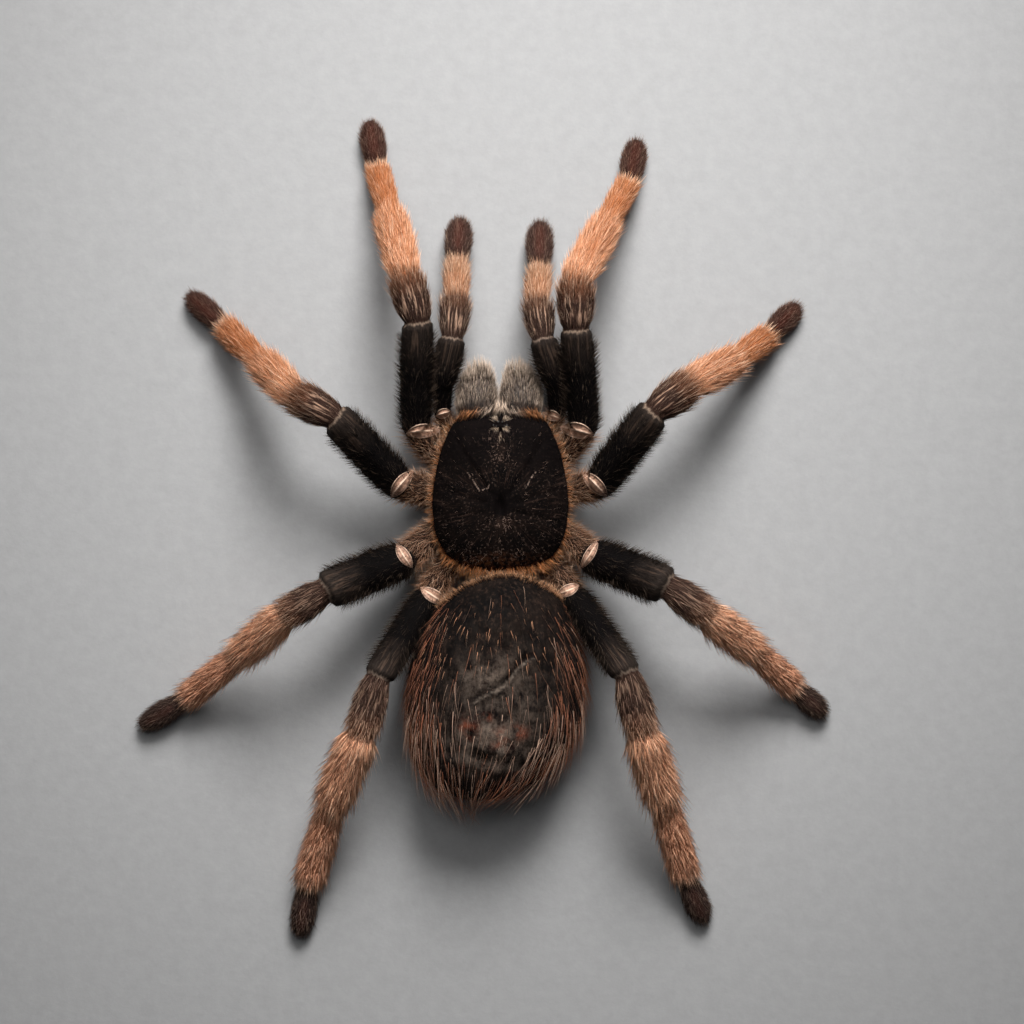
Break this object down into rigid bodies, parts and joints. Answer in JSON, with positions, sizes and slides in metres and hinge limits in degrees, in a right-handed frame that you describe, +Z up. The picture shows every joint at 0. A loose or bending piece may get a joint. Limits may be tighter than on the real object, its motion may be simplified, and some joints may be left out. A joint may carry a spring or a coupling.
{
  "type": "tarantula specimen",
  "caption": "Dried tarantula specimen lying belly down with its legs spread: black velvety carapace and thighs, orange furry shins, long-haired dark abdomen.",
  "frame": {"origin": "on the resting surface, in the middle of the specimen's outline seen from above", "axes": "+X towards the spider's right side, +Y towards its head, +Z up from the resting surface"},
  "size_m": [0.1099, 0.13, 0.0189],
  "materials": {
    "carapace_velvet": "short black velvet hair with a rust-brown fringe",
    "abdomen_skin": "dull dark brown skin with long reddish-tan hairs",
    "chelicera_fur": "grey-brown fur with pale tips",
    "palp_fur": "black thigh, brown knee, pinkish-tan shin fur and dark brown tip",
    "leg_fur": "black thigh, brown knee, orange-tan shin fur and dark brown foot"
  },
  "bodies": {
    "root": {"cephalothorax": "carapace_velvet", "abdomen": "abdomen_skin", "chelicera_left": "chelicera_fur", "chelicera_right": "chelicera_fur", "pedipalp_left": "palp_fur", "pedipalp_right": "palp_fur", "leg_left_1": "leg_fur", "leg_left_2": "leg_fur", "leg_left_3": "leg_fur", "leg_left_4": "leg_fur", "leg_right_1": "leg_fur", "leg_right_2": "leg_fur", "leg_right_3": "leg_fur", "leg_right_4": "leg_fur"}
  },
  "joints": []
}
